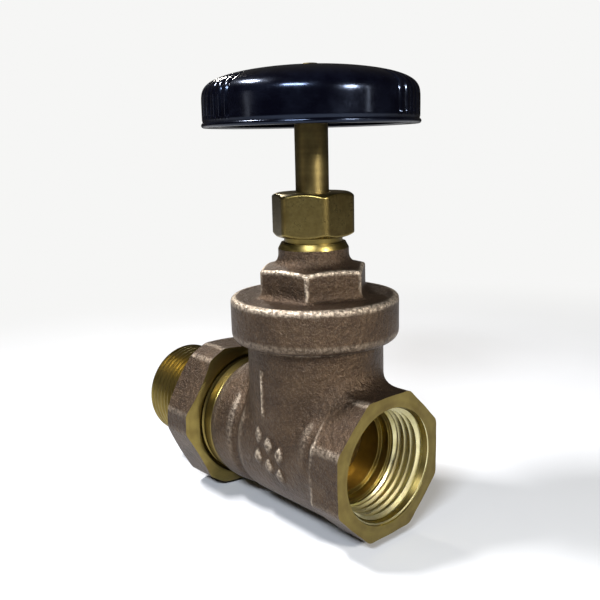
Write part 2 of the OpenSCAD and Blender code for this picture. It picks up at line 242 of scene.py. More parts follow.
def zincPlatedSteel():
    # bright zinc over pressed steel: pale grey with a cool, faintly cloudy shine
    material, shader, add = newMaterial("zincPlatedSteel", Metallic=1.0)
    place = add("ShaderNodeTexCoord").outputs["Object"]
    clouds = add("ShaderNodeTexNoise", place, Scale=1 / (1.5 * mm), Detail=4, Roughness=0.6)
    specks = add("ShaderNodeTexNoise", place, Scale=1 / (0.3 * mm), Detail=3)
    shade = add("ShaderNodeMapRange", clouds, 0.4, 0.6)
    colour = add("ShaderNodeMix", shade, linear("#b9bcc0"), linear("#8f9398"), data_type="RGBA")
    roughness = add("ShaderNodeMapRange", clouds, 0.35, 0.65, 0.24, 0.4)
    relief = add("ShaderNodeBump", Height=specks, Distance=0.006 * mm)
    setNode(shader, Base_Color=colour, Roughness=roughness, Normal=relief)
    return material


def stampedAluminium():
    # rolled aluminium sheet: satin, with the mill's straight brushing
    material, shader, add = newMaterial("stampedAluminium", Metallic=1.0)
    place = add("ShaderNodeTexCoord").outputs["Object"]
    drawn = add("ShaderNodeMapping", place, Scale=(0.03, 1, 1))
    brushing = add("ShaderNodeTexNoise", drawn, Scale=1 / (0.25 * mm), Detail=3, Roughness=0.6)
    clouds = add("ShaderNodeTexNoise", place, Scale=1 / (3 * mm), Detail=3)
    shade = add("ShaderNodeMapRange", clouds, 0.4, 0.6)
    colour = add("ShaderNodeMix", shade, linear("#c4c5c6"), linear("#aaacae"), data_type="RGBA")
    roughness = add("ShaderNodeMapRange", brushing, 0.35, 0.65, 0.28, 0.42)
    relief = add("ShaderNodeBump", Height=brushing, Distance=0.01 * mm)
    setNode(shader, Base_Color=colour, Roughness=roughness, Normal=relief)
    return material


def braidedGraphite():
    # plaited yarn filled with graphite: dark grey with a soft metallic sheen on each strand
    material, shader, add = newMaterial("braidedGraphite", Metallic=0.3)
    place = add("ShaderNodeMapping", add("ShaderNodeTexCoord").outputs["Object"], Location=(-stemX, 0, 0))
    strands = add("ShaderNodeTexVoronoi", place, Scale=1 / (1.1 * mm))
    shade = add("ShaderNodeMapRange", strands, 0, 0.6)
    colour = add("ShaderNodeMix", shade, linear("#3a3b3d"), linear("#17181a"), data_type="RGBA")
    roughness = add("ShaderNodeMapRange", strands, 0, 0.6, 0.45, 0.7)
    relief = add("ShaderNodeBump", Height=strands, Distance=0.12 * mm)
    setNode(shader, Base_Color=colour, Roughness=roughness, Normal=relief)
    return material


def pressedFibre():
    # compressed fibre sheet: dull, with short fibres and specks
    material, shader, add = newMaterial("pressedFibre")
    laid = add("ShaderNodeMapping", add("ShaderNodeTexCoord").outputs["Object"], Scale=(1, 0.3, 1))
    fibres = add("ShaderNodeTexNoise", laid, Scale=1 / (0.4 * mm), Detail=4, Roughness=0.7)
    shade = add("ShaderNodeMapRange", fibres, 0.4, 0.65)
    colour = add("ShaderNodeMix", shade, linear("#3d4542"), linear("#5c6460"), data_type="RGBA")
    roughness = add("ShaderNodeMapRange", fibres, 0.3, 0.7, 0.65, 0.85)
    relief = add("ShaderNodeBump", Height=fibres, Distance=0.03 * mm)
    setNode(shader, Base_Color=colour, Roughness=roughness, Normal=relief)
    return material


def lappedBronze():
    # the wedge: cast bronze whose two faces are lapped flat, so it shines dully with crossed fine lines
    material, shader, add = newMaterial("lappedBronze", Metallic=1.0)
    place = add("ShaderNodeTexCoord").outputs["Object"]
    lapped = add("ShaderNodeMapping", place, Scale=(1, 1, 0.08))
    lines = add("ShaderNodeTexNoise", lapped, Scale=1 / (0.3 * mm))
    clouds = add("ShaderNodeTexNoise", place, Scale=1 / (3 * mm), Detail=4, Roughness=0.6)
    shade = add("ShaderNodeMapRange", clouds, 0.38, 0.64)
    colour = add("ShaderNodeMix", shade, linear("#a98f58"), linear("#6f5a36"), data_type="RGBA")
    roughness = add("ShaderNodeMapRange", clouds, 0.35, 0.65, 0.3, 0.5)
    relief = add("ShaderNodeBump", Height=lines, Distance=0.01 * mm)
    setNode(shader, Base_Color=colour, Roughness=roughness, Normal=relief)
    return material


castBronze = sandCastBronze()
turnedAboutX = turnedBronze("turnedBronzeX", "X")
# pale copy of the turned bronze for the inlet's threads: its light colour is painted light where the lamps
# shine into the bore
litThreadsAboutX = turnedBronze("paintedLitThreadBronzeX", "X", "#ddd5a8", "#b0a56d", 0.24)
turnedAboutZ = turnedBronze("turnedBronzeZ", "Z")
turnedStem = turnedBronze("turnedStemBronze", "Z", "#6f623d", "#4a3e26", 0.36)
hexBrass = drawnBrass()
phenolic = blackPhenolic()
zincSteel = zincPlatedSteel()
aluminium = stampedAluminium()
graphite = braidedGraphite()
fibre = pressedFibre()
wedgeBronze = lappedBronze()
print("materials made")


cameraPlace = {
    "at": (0.12812, -0.14481, 0.08720),
    "right": (0.6666, 0.7451, -0.0239),
    "up": (-0.1366, 0.1536, 0.9786),
    "lens": 45.15,
}
studio = {
    "backdrop": "#f6f6f5",
    "reflected": "#c9c3ba",
    "reflectedStrength": 0.06,  # the room is dim in reflections
    "floorRadius": 6.0,
    "floorGap": 0.0002,
    "paper": ("#c4c4c3", "#c0c0bf"),
    "paperEnds": (0.12, 0.42),  # from here to there the paper runs into the backdrop
}


def makeCamera():
    data = bpy.data.cameras.new("camera")
    data.lens = cameraPlace["lens"]
    data.sensor_width = 36
    data.clip_start = 0.01
    data.clip_end = 20
    camera = bpy.data.objects.new("camera", data)
    bpy.context.scene.collection.objects.link(camera)
    right = Vector(cameraPlace["right"]).normalized()
    back = right.cross(Vector(cameraPlace["up"])).normalized()
    up = back.cross(right)
    turn = Matrix((right, up, back)).transposed()
    camera.matrix_world = Matrix.Translation(cameraPlace["at"]) @ turn.to_4x4()
    bpy.context.scene.camera = camera


def makeFloor():
    mesh = bpy.data.meshes.new("floor")
    sheet = bmesh.new()
    bmesh.ops.create_circle(sheet, cap_ends=True, segments=96, radius=studio["floorRadius"])
    bmesh.ops.translate(sheet, verts=sheet.verts, vec=(0, 0, cadBox[0][2] - studio["floorGap"]))
    sheet.to_mesh(mesh)
    sheet.free()
    floor = bpy.data.objects.new("floor", mesh)
    bpy.context.scene.collection.objects.link(floor)
    # matt paper with a faint cloudiness
    material, shader, add = newMaterial("palePaper", Roughness=0.9)
    place = add("ShaderNodeTexCoord").outputs["Object"]
    clouds = add("ShaderNodeTexNoise", place, Scale=1 / (60 * mm), Detail=3)
    shade = add("ShaderNodeMapRange", clouds, 0.3, 0.7)
    near, far = (linear(colour) for colour in studio["paper"])
    setNode(shader, Base_Color=add("ShaderNodeMix", shade, near, far, data_type="RGBA"))
    away = add("ShaderNodeVectorMath", place, operation="LENGTH")
    edge = add("ShaderNodeMapRange", away, *studio["paperEnds"], interpolation_type="SMOOTHSTEP")
    path = add("ShaderNodeLightPath").outputs["Is Camera Ray"]
    seen = add("ShaderNodeMath", edge, path, operation="MULTIPLY")
    backdrop = add("ShaderNodeEmission", linear(studio["backdrop"]))
    both = add("ShaderNodeMixShader", seen, shader, backdrop)
    setNode(material.node_tree.nodes["Material Output"], Surface=both)
    mesh.materials.append(material)


def makeWorld():
    # dim in reflections, and a pale backdrop where the camera looks past the floor
    world = bpy.data.worlds.new("room")
    bpy.context.scene.world = world
    world.use_nodes = True
    world.node_tree.nodes.clear()
    add = partial(addNode, world.node_tree)
    reflected = add("ShaderNodeBackground", linear(studio["reflected"]), studio["reflectedStrength"])
    seen = add("ShaderNodeBackground", linear(studio["backdrop"]), 1.0)
    path = add("ShaderNodeLightPath").outputs["Is Camera Ray"]
    add("ShaderNodeOutputWorld", Surface=add("ShaderNodeMixShader", path, reflected, seen))


# each lamp: place and aim in metres, size, power in watts, colour
lamps = {
    "key": ((0.215, -0.419, 0.409), (-0.03, 0, 0.05), (0.20, 0.06), 4.8, "#eaf2ff"),
    "overhead": ((-0.25, -0.22, 0.50), (-0.03, 0, 0.03), (0.12, 0.06), 5.6, "#fbfbff"),
    "rightKey": ((0.52, -0.016, 0.275), (-0.02, 0, 0.03), (0.12, 0.06), 4.2, "#fbf8f4"),
    "rightStrip": ((0.516, 0.159, 0.194), (-0.03, 0, 0.05), (0.02, 0.20), 0.15, "#fff8ee"),
    "backLeft": ((-0.49, 0.185, 0.323), (-0.03, 0, 0.03), (0.05, 0.03), 0.7, "#fffaf2"),
    "leftStrip": ((-0.22, -0.60, 0.10), (-0.03, 0, 0.08), (0.06, 0.25), 0.12, "#fff4e6"),
}


def makeLamps():
    for name, (place, aim, size, power, colour) in lamps.items():
        data = bpy.data.lights.new(name, "AREA")
        data.shape = "RECTANGLE"
        data.size, data.size_y = size
        data.energy = power
        data.color = linear(colour)[:3]
        lamp = bpy.data.objects.new(name, data)
        bpy.context.scene.collection.objects.link(lamp)
        lamp.location = place
        lamp.rotation_euler = (Vector(aim) - Vector(place)).to_track_quat("-Z", "Y").to_euler()


makeCamera()
makeFloor()
makeWorld()
makeLamps()
bpy.context.scene.view_settings.view_transform = "Standard"
print("camera, floor and lamps placed")


def coat(made, materials, index):
    # gives an object its materials, and all its faces the one of that index
    made.data.materials.clear()
    for material in materials:
        made.data.materials.append(material)
    made.data.polygons.foreach_set("material_index", np.full(len(made.data.polygons), index, np.int32))


def meshObject(name, points, faces, materials, index=0):
    # a new object from points in millimetres
    mesh = bpy.data.meshes.new(name)
    mesh.from_pydata(points, [], faces)
    mesh.update()
    made = bpy.data.objects.new(name, mesh)
    bpy.context.scene.collection.objects.link(made)
    coat(made, materials, index)
    return made


def applyModifiers(made):
    # swaps the object's mesh for what its modifiers make of it
    bpy.context.view_layer.update()
    result = bpy.data.meshes.new_from_object(made.evaluated_get(bpy.context.evaluated_depsgraph_get()))
    made.modifiers.clear()
    old = made.data
    made.data = result
    bpy.data.meshes.remove(old)


def combine(operation, base, *tools):
    # Boolean of closed meshes; each tool's faces bring their own material index, and the tools are used up
    for tool in tools:
        modifier = base.modifiers.new("combine", "BOOLEAN")
        modifier.operation = operation
        modifier.solver = "MANIFOLD"
        modifier.object = tool
        applyModifiers(base)
        used = tool.data
        bpy.data.objects.remove(tool)
        bpy.data.meshes.remove(used)
    return base


def reshape(made, matrix):
    made.data.transform(matrix)
    return made


def turnOut(shell, made):
    # turns a closed shell's faces outwards and makes it the object's mesh
    bmesh.ops.recalc_face_normals(shell, faces=shell.faces)
    if shell.calc_volume(signed=True) < 0:
        bmesh.ops.reverse_faces(shell, faces=shell.faces)
    shell.to_mesh(made.data)
    shell.free()
    return made


def outwards(made):
    # welds the object's mesh and turns its faces outwards
    shell = bmesh.new()
    shell.from_mesh(made.data)
    bmesh.ops.remove_doubles(shell, verts=shell.verts, dist=1e-4)
    bmesh.ops.dissolve_degenerate(shell, dist=1e-5, edges=shell.edges)
    return turnOut(shell, made)


def roundedOutline(corners, steps=5):
    # closed outline of (r, z) corners; a third number rounds that corner to about that radius
    line = []
    for i, corner in enumerate(corners):
        here = np.array(corner[:2], float)
        size = corner[2] if len(corner) > 2 else 0
        if size == 0:
            line.append(here)
            continue
        before = np.array(corners[i - 1][:2], float) - here
        after = np.array(corners[(i + 1) % len(corners)][:2], float) - here
        angle = math.acos(np.clip(before @ after / np.linalg.norm(before) / np.linalg.norm(after), -1, 1))
        reach = size / math.tan(angle / 2)
        start = here + before / np.linalg.norm(before) * reach
        end = here + after / np.linalg.norm(after) * reach
        for t in np.linspace(0, 1, steps + 1):
            line.append(start * (1 - t) ** 2 + 2 * here * t * (1 - t) + end * t ** 2)
    return np.array(line)


def lathe(name, line, materials, index=0, segments=128, axis="Z"):
    # turns a closed outline of (r, z) points about Z, or about X with z running along it
    line = np.array([point[:2] for point in line], float)
    angles = np.arange(segments) / segments * 2 * math.pi
    radius, height = line[:, 0], line[:, 1]
    x = np.outer(np.cos(angles), radius)
    y = np.outer(np.sin(angles), radius)
    z = np.broadcast_to(height, x.shape)
    points = np.stack([x, y, z], -1).reshape(-1, 3)
    count = len(line)
    i, j = np.meshgrid(np.arange(segments), np.arange(count), indexing="ij")
    nextI, nextJ = (i + 1) % segments, (j + 1) % count
    corners = [i * count + j, nextI * count + j, nextI * count + nextJ, i * count + nextJ]
    faces = np.stack(corners, -1).reshape(-1, 4)
    made = outwards(meshObject(name, points.tolist(), faces.tolist(), materials, index))
    if axis == "X":
        reshape(made, alongX)
    return made


def tube(name, outer, inner, low, high, materials, index=0, axis="Z"):
    line = [(outer, low), (outer, high), (inner, high), (inner, low)]
    return lathe(name, line, materials, index, axis=axis)


def rod(name, radius, low, high, materials, index=0, axis="Z", segments=128):
    return lathe(name, [(0, low), (radius, low), (radius, high), (0, high)], materials, index, segments, axis)


def block(name, low, high, materials, index=0):
    xs, ys, zs = zip(low, high)
    points = [(x, y, z) for x in xs for y in ys for z in zs]
    faces = [(0, 1, 3, 2), (4, 6, 7, 5), (0, 4, 5, 1), (2, 3, 7, 6), (0, 2, 6, 4), (1, 5, 7, 3)]
    return outwards(meshObject(name, points, faces, materials, index))


def smoothMin(a, b, size):
    # joins two distance fields with a fillet about as wide as size
    share = np.clip(0.5 + 0.5 * (b - a) / size, 0, 1)
    return b + (a - b) * share - size * share * (1 - share)


def smoothMax(a, b, size):
    return -smoothMin(-a, -b, size)


def hexagon(x, y, turn, half, edge, shape=None):
    # distance to three pairs of flats, the first pair's normal at that angle, joined to a shape that is given
    shape = np.full_like(x, -99.0) if shape is None else shape
    for step in (0, 60, 120):
        angle = math.radians(turn + step)
        shape = smoothMax(shape, np.abs(x * math.cos(angle) + y * math.sin(angle)) - half, edge)
    return shape


def castShape(name, field, low, high, voxel, materials):
    # closed mesh of the surface where field(x, y, z) is zero; each point is then slid exactly onto it
    axes = [np.arange(low[i] - 2 * voxel, high[i] + 3 * voxel, voxel) for i in range(3)]
    samples = field(*np.meshgrid(*axes, indexing="ij")).astype(np.float32)
    grid = openvdb.FloatGrid()
    grid.copyFromArray(samples)
    points, triangles, quads = grid.convertToPolygons(isovalue=0.0, adaptivity=0.0)
    points = points * voxel + np.array([axis[0] for axis in axes])
    for _ in range(3):
        value, slope = field(*points.T), fieldSlope(field, points)
        step = (value / np.maximum((slope ** 2).sum(1), 0.2))[:, None] * slope
        points = points - np.clip(step, -voxel / 2, voxel / 2)
    made = meshObject(name, points.tolist(), triangles.tolist() + quads.tolist(), materials)
    return outwards(made)


def fieldSlope(field, points, reach=0.05):
    slope = np.zeros_like(points)
    for i in range(3):
        step = np.zeros(3)
        step[i] = reach
        slope[:, i] = (field(*(points + step).T) - field(*(points - step).T)) / (2 * reach)
    return slope


def markWearAndHighlight(made, field, reach=0.9):
    # edge wear and painted highlight: how far the cast skin turns away within that reach marks rubbed edges;
    # the extra weight on upper edges is a painted highlight from light above
    count = len(made.data.vertices)
    points = np.zeros(count * 3)
    made.data.vertices.foreach_get("co", points)
    points = points.reshape(-1, 3)
    total = -6 * field(*points.T)
    for i in range(3):
        for sign in (-1, 1):
            step = np.zeros(3)
            step[i] = sign * reach
            total = total + field(*(points + step).T)
    upward = fieldSlope(field, points)[:, 2]
    # the upward weighting is painted highlight on upper edges; downward edges are kept dull
    turn = np.clip(total / reach * 1.6 - 0.12, 0, 1) * np.clip(0.45 + 0.75 * upward, 0.06, 1)
    attribute = made.data.attributes.new("edgeWearAndHighlight", "FLOAT", "POINT")
    attribute.data.foreach_set("value", turn.astype(np.float32))


def waviness(x, y, z, size=0.07):
    # the slow unevenness of a hand-rammed mould
    wave = np.sin(x * 0.31 + 1.7 * np.sin(z * 0.17) + 0.4) + np.sin(y * 0.27 + 1.3 * np.sin(x * 0.21))
    return size * (wave + np.sin(z * 0.37 + 1.1 * np.sin(y * 0.23) + 2.1)) / 3


def finishPiece(made, name, body, slot, *nodes, sharp=32):
    # shades the piece, moves it from millimetres about the stem to its place, hangs it on its body's empty
    # and hides the CAD nodes it replaces
    made.name = made.data.name = name
    reshape(made, rowPlace)
    made.data.shade_smooth()
    made.data.set_sharp_from_angle(angle=math.radians(sharp))
    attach(made, body)
    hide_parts(*nodes)
    print(name, len(made.data.polygons), "faces")
    return made


# a helical thread, as a Geometry Nodes tree

def treeInputs(tree, sockets):
    tree.interface.new_socket("Geometry", in_out="OUTPUT", socket_type="NodeSocketGeometry")
    tree.interface.new_socket("Geometry", in_out="INPUT", socket_type="NodeSocketGeometry")
    for name, (kind, value) in sockets.items():
        socket = tree.interface.new_socket(name, in_out="INPUT", socket_type="NodeSocket" + kind)
        if value is not None:
            socket.default_value = value
    return {socket.name: socket for socket in tree.nodes.new("NodeGroupInput").outputs}


def endTree(tree, geometry, material):
    real = addNode(tree, "GeometryNodeRealizeInstances", geometry)
    coated = addNode(tree, "GeometryNodeSetMaterial", real, Material=material)
    addNode(tree, "NodeGroupOutput", coated)


def runTree(made, tree, values):
    # sets the modifier's inputs by identifier, and swaps the object's mesh for the tree's result
    modifier = made.modifiers.new(tree.name, "NODES")
    modifier.node_group = tree
    for item in tree.interface.items_tree:
        if item.in_out == "INPUT" and item.name in values:
            modifier[item.identifier] = values[item.name]
    applyModifiers(made)
    return made


def makeThreadTree():
    # a sheet sheared by one pitch and rolled up: its rows follow the helix, so crests are clean lines
    tree = bpy.data.node_groups.new("helicalThread", "GeometryNodeTree")
    add = partial(addNode, tree)
    given = treeInputs(tree, {
        "Pitch Radius": ("Float", 10.0), "Pitch": ("Float", 2.0), "Depth": ("Float", 1.2),
        "Length": ("Float", 10.0), "Flat Share": ("Float", 0.125), "Taper": ("Float", 0.0),
        "Hand": ("Float", 1.0),
        "Rows": ("Int", 40), "Segments": ("Int", 128), "Material": ("Material", None),
    })
    sheet = add("GeometryNodeMeshGrid", given["Length"], 1.0, given["Rows"], given["Segments"])
    x, y, _ = add("ShaderNodeSeparateXYZ", add("GeometryNodeInputPosition")).outputs
    along = add("ShaderNodeMath", given["Length"], 0.5, x, operation="MULTIPLY_ADD")
    turn = add("ShaderNodeMath", y, 0.5, operation="ADD")
    axial = add("ShaderNodeMath", turn, given["Pitch"], along, operation="MULTIPLY_ADD")
    # the tooth: a triangle wave along the rod whose tops and bottoms are cut flat
    pitches = add("ShaderNodeMath", along, given["Pitch"], operation="DIVIDE")
    phase = add("ShaderNodeMath", add("ShaderNodeMath", pitches, 1 / 16, operation="ADD"), operation="FRACT")
    wave = add("ShaderNodeMath", phase, 2.0, -1.0, operation="MULTIPLY_ADD")
    slope = add("ShaderNodeMath", wave, operation="ABSOLUTE")
    above = add("ShaderNodeMath", slope, given["Flat Share"], operation="SUBTRACT")
    flats = add("ShaderNodeMath", given["Flat Share"], 2.0, operation="MULTIPLY")
    flank = add("ShaderNodeMath", 1.0, flats, operation="SUBTRACT")
    height = add("ShaderNodeMath", above, flank, operation="DIVIDE", use_clamp=True)
    centred = add("ShaderNodeMath", height, 0.5, operation="SUBTRACT")
    tooth = add("ShaderNodeMath", given["Depth"], centred, operation="MULTIPLY")
    leaning = add("ShaderNodeMath", given["Taper"], axial, given["Pitch Radius"], operation="MULTIPLY_ADD")
    radius = add("ShaderNodeMath", leaning, tooth, operation="ADD")
    around = add("ShaderNodeMath", turn, 2 * math.pi, operation="MULTIPLY")
    angle = add("ShaderNodeMath", around, given["Hand"], operation="MULTIPLY")
    sides = [add("ShaderNodeMath", radius, add("ShaderNodeMath", angle, operation=part), operation="MULTIPLY")
             for part in ("COSINE", "SINE")]
    rolled = add("ShaderNodeCombineXYZ", *sides, axial)
    moved = add("GeometryNodeSetPosition", sheet, Position=rolled)
    endTree(tree, add("GeometryNodeMergeByDistance", moved, Distance=0.001), given["Material"])
    return tree


threadTree = makeThreadTree()


def threadedRod(name, radius, pitch, depth, low, high, materials, index=0,
                taper=0.0, hand=1, axis="Z", segments=128):
    # closed rod with a thread of that pitch radius, from below low to above high; its rough ends get cut away
    turns = math.ceil((high - low) / pitch) + 2
    empty = meshObject(name, [], [], materials)
    made = runTree(empty, threadTree, {
        "Pitch Radius": radius - taper * (pitch * 1.5), "Pitch": pitch, "Depth": depth, "Taper": taper,
        "Length": turns * pitch, "Hand": float(hand), "Rows": turns * 8 + 1, "Segments": segments + 1,
        "Material": materials[index],
    })
    shell = bmesh.new()
    shell.from_mesh(made.data)
    bmesh.ops.remove_doubles(shell, verts=shell.verts, dist=1e-3)
    rims = [edge for edge in shell.edges if edge.is_boundary]
    middle = turns * pitch / 2
    for side in (-1, 1):
        loop = [edge for edge in rims if (edge.verts[0].co.z - middle) * side > 0]
        centre = shell.verts.new((0, 0, middle + side * (turns + 1) * pitch / 2))
        for edge in loop:
            shell.faces.new((*edge.verts, centre))
    turnOut(shell, made)
    coat(made, materials, index)
    reshape(made, Matrix.Translation((0, 0, low - pitch * 1.5)))
    if axis == "X":
        reshape(made, alongX)
    return made


# body: a casting with a round barrel and neck, and an octagon turned up at the inlet

threads = {  # pitch and depth
    "pipe": (2.2087, 1.62),
    "union": (2.0, 1.25),
    "packing": (1.5, 0.9),
    "stem": (3.175, 1.6),
    "stud": (0.8, 0.5),
}
bodyShape = {
    "barrelR": 19.8,
    "bulgeX": -24.0,
    "bulgeHeight": 0.2,
    "bulgeWidth": 3.0,
    "ringX": -28.5,
    "valleyX": -15.8,
    "valleyDepth": 1.15,
    "valleyWidth": 1.9,
    "ridgeX": 14.8,
    "ridgeHeight": 1.5,
    "ridgeWidth": 3.4,
    "octagonX": 17.8,
    "octagonR": 20.0,
    "cornerRound": 1.0,
    "fillet": 7.0,
    "faceX": bodyHigh[0],
    "mouthR": 16.6,
    "minorR": 14.85,
    "taper": 1 / 32,
    "threadEndX": 18.6,
    "reliefX": 16.6,
    "reliefR": 13.5,
    "shoulderX": 13.9,
    "portR": 12.0,
    "capBottom": bonnetLow[2],
    "unionR": 19.14,
    "unionRingR": 19.35,
    "unionStart": -31.4,
    "unionEnd": bodyLow[0],
    "chamberR": 16.2,
    "chamberHalf": 9.0,
    "seatR": 14.0,
    "seatHalf": 7.05,  # from the stem's axis to a seat, at the pipe's axis
    "seatLean": 5,
    "ribHalf": 1.5,  # the ribs that guide the wedge
    "ribBottom": -6.7,
    "ribInner": 13,
    "neckR": 19.49,
    "neckTop": bodyHigh[2],
    "voxel": 0.45,
}
# raised marks of the pattern shop: centre x and z, half width and half height
castMarks = {
    "bar": (-1.0, 18.5, 0.5, 6.2),
    "lozenges": [(-3.6 + 4.5 * i, 5.6 - 1.9 * i - 6.4 * row, 1.9, 2.7) for row in (0, 1) for i in (0, 1, 2)],
    "height": 0.65,
}


def bodyField(x, y, z):
    s = SimpleNamespace(**bodyShape)
    out = np.hypot(y, z)
    across = np.hypot(x, y)
    radius = s.barrelR - s.valleyDepth * np.exp(-((x - s.valleyX) / s.valleyWidth) ** 2)
    radius = radius + s.bulgeHeight * np.exp(-((x - s.bulgeX) / s.bulgeWidth) ** 2)
    radius = radius - 0.06 * np.clip(s.bulgeX - 1 - x, 0, None) ** 2
    # the ridge before the octagon is only on the barrel's upper half
    upper = np.clip(0.2 + z / np.maximum(out, 1), 0, 1)
    radius = radius + s.ridgeHeight * upper * np.exp(-((x - s.ridgeX) / s.ridgeWidth) ** 2)
    barrel = np.maximum(np.maximum(out - radius, s.ringX - 1 - x), x - s.faceX - 1)
    flats = np.abs(y)
    for turn in (45, 90, 135):
        c, d = math.cos(math.radians(turn)), math.sin(math.radians(turn))
        flats = smoothMax(flats, np.abs(y * c + z * d), s.cornerRound)
    octagon = smoothMax(flats - s.octagonR, s.octagonX - x, 1.4)
    octagon = np.maximum(octagon, x - s.faceX - 1)
    barrel = np.where(x > s.octagonX + 1, np.maximum(barrel, out - s.barrelR), barrel)
    barrel = smoothMin(barrel, octagon, 0.9)
    neck = np.maximum(across - s.barrelR, z - s.capBottom + 0.1)
    neck = np.maximum(neck, -z)
    facing = y * y / np.maximum(out * across, 1e-6)
    blend = s.fillet * np.clip(1 - facing, 0.003, 1) ** 1.2
    shape = smoothMin(barrel, neck, blend)
    front = np.where(y < 0, 1.0, 0.0)
    for cx, cz, w, h in castMarks["lozenges"]:
        inside = 1 - (np.abs(x - cx) / w) ** 1.5 - (np.abs(z - cz) / h) ** 1.5
        shape = shape - front * castMarks["height"] * np.clip(inside * 1.3, 0, 1) ** 0.7
    cx, cz, w, h = castMarks["bar"]
    edge = np.hypot(x - cx, np.clip(np.abs(z - cz) - h, 0, None)) - w
    shape = shape - front * castMarks["height"] * 0.8 * np.clip(0.5 - edge * 1.2, 0, 1)
    return shape + waviness(x, y, z)


def bodyHollow(materials):
    # everything that drilling and turning take out of the casting, as one closed solid
    s = SimpleNamespace(**bodyShape)
    line = roundedOutline([
        (0, s.unionEnd - 1), (s.portR + 3.75, s.unionEnd - 1), (s.portR, s.unionEnd + 3),
        (s.portR, s.shoulderX, 0.25), (s.reliefR, s.shoulderX, 0.2), (s.reliefR, s.reliefX, 0.3),
        (s.minorR - 0.35, s.reliefX, 0.3), (s.minorR - 0.2, s.threadEndX), (s.minorR, s.faceX - 2.9, 0.3),
        (s.mouthR - 0.75, s.faceX - 2.1, 0.2), (s.mouthR, s.faceX, 0.15), (s.mouthR + 0.5, s.faceX + 1),
        (0, s.faceX + 1),
    ])
    hollow = lathe("bore", line, materials, 1, 160, "X")
    # index 3 is the pale copy: the threads carry painted light
    tap = threadedRod("tap", s.minorR + 0.75, *threads["pipe"], s.threadEndX, s.faceX + 2,
                      materials, 3, s.taper, axis="X", segments=160)
    reach = [(0, s.threadEndX - 1.5), (s.minorR - 0.6, s.threadEndX - 1.5),
             (s.mouthR + 1.2, s.threadEndX + 1.6), (s.mouthR + 1.2, s.faceX + 0.5), (0, s.faceX + 0.5)]
    combine("INTERSECT", tap, lathe("reach", reach, materials, 3, 96, "X"))
    combine("UNION", hollow, tap)
    room = rod("room", s.chamberR - 0.2, -s.chamberHalf, s.chamberHalf, materials, 0, "X")
    slot = block("slot", (-s.chamberHalf, -20, 0), (s.chamberHalf, 20, 16), materials)
    well = rod("well", s.chamberR, 15, s.neckTop + 2, materials, 0)
    combine("UNION", room, slot)
    combine("INTERSECT", room, rod("limit", s.chamberR, -20, 17, materials, 0))
    combine("UNION", room, well)
    seats = tube("seats", s.seatR, s.portR - 1, -s.chamberHalf - 0.5, s.chamberHalf + 0.5, materials, 1, "X")
    combine("DIFFERENCE", seats, wedgeSpace(materials))
    combine("DIFFERENCE", room, seats)
    ribs = block("ribs", (-s.ribHalf, -20, s.ribBottom), (s.ribHalf, 20, s.neckTop), materials)
    combine("DIFFERENCE", ribs, block("gap", (-3, -s.ribInner, -9), (3, s.ribInner, 50), materials))
    combine("DIFFERENCE", room, ribs)
    return combine("UNION", hollow, room)


def wedgeSpace(materials):
    # the taper between the two seats
    s = SimpleNamespace(**bodyShape)
    lean = math.tan(math.radians(s.seatLean))
    points = [(side * (s.seatHalf + z * lean), y, z)
              for z in (-17, 16) for side in (-1, 1) for y in (-20, 20)]
    faces = [(0, 1, 3, 2), (4, 5, 7, 6), (0, 1, 5, 4), (2, 3, 7, 6), (0, 2, 6, 4), (1, 3, 7, 5)]
    return outwards(meshObject("wedgeSpace", points, faces, materials, 1))


def makeBody():
    s = SimpleNamespace(**bodyShape)
    # the last slot is the pale copy whose colour paints light on the inlet threads
    materials = [castBronze, turnedAboutX, turnedAboutZ, litThreadsAboutX]
    low, high = (s.ringX - 1, -21.5, -21.5), (s.faceX + 1, 21.5, s.capBottom)
    cast = castShape("body", bodyField, low, high, s.voxel, materials)
    # the inlet's face and the casting's ends are cut flat on the lathe
    combine("INTERSECT", cast, block("faces", (s.ringX + 0.05, -40, -40), (s.faceX, 40, 40), materials, 1))
    union = lathe("union", roundedOutline([
        (0, s.ringX + 3), (0, s.unionEnd), (s.unionR - 0.9, s.unionEnd, 0.2),
        (s.unionR, s.unionEnd + 1.1, 0.2), (s.unionR, s.unionStart - 0.4),
        (s.unionR - 0.8, s.unionStart - 0.3), (s.unionR - 0.8, s.unionStart, 0.1),
        (s.unionRingR, s.unionStart, 0.15), (s.unionRingR, s.ringX + 0.3), (s.unionRingR - 2, s.ringX + 3),
    ]), materials, 1, 160, "X")
    screw = threadedRod("screw", s.unionR - 0.6, *threads["union"], s.unionEnd - 2, s.unionStart,
                        materials, 1, axis="X", segments=160)
    combine("UNION", screw, rod("core", s.unionR + 1, s.unionStart - 0.4, s.ringX + 6, materials, 1, "X"))
    combine("INTERSECT", union, screw)
    collar = lathe("collar", roundedOutline([
        (0, 25), (s.neckR, 25), (s.neckR, s.neckTop - 0.8), (s.neckR - 0.8, s.neckTop), (0, s.neckTop),
    ]), materials, 2, 128)
    combine("UNION", cast, union, collar)
    combine("DIFFERENCE", cast, bodyHollow(materials))
    markWearAndHighlight(cast, bodyField)
    return finishPiece(cast, "valveBody", "valve_body", "cast_bronze", "body")


makeBody()


# bonnet: round cap, hexagon and neck in one casting

bonnetShape = {
    "capR": bonnetHigh[0],
    "capBottom": bonnetLow[2],
    "capTop": 44.5,
    "topRound": 1.5,
    "bottomRound": 2.7,
    "hexHalf": 14.25,
    "hexTurn": 10,
    "hexCorner": 16.45,
    "hexTop": 52.3,
    "topSlope": 0.26,
    "neckR": 10.1,
    "neckTop": 59.7,
    "threadR": 8.9,
    "top": bonnetHigh[2],
    "boreR": 19.55,
    "boreTop": 41.0,
    "retainerR": 9.0,
    "retainerTop": 49.0,
    "collarR": 7.8,
    "collarTop": 52.2,
    "stemBoreR": 4.76,
    "boxBottom": 54.5,  # the stuffing box
    "boxR": 7.0,
    "voxel": 0.42,
}


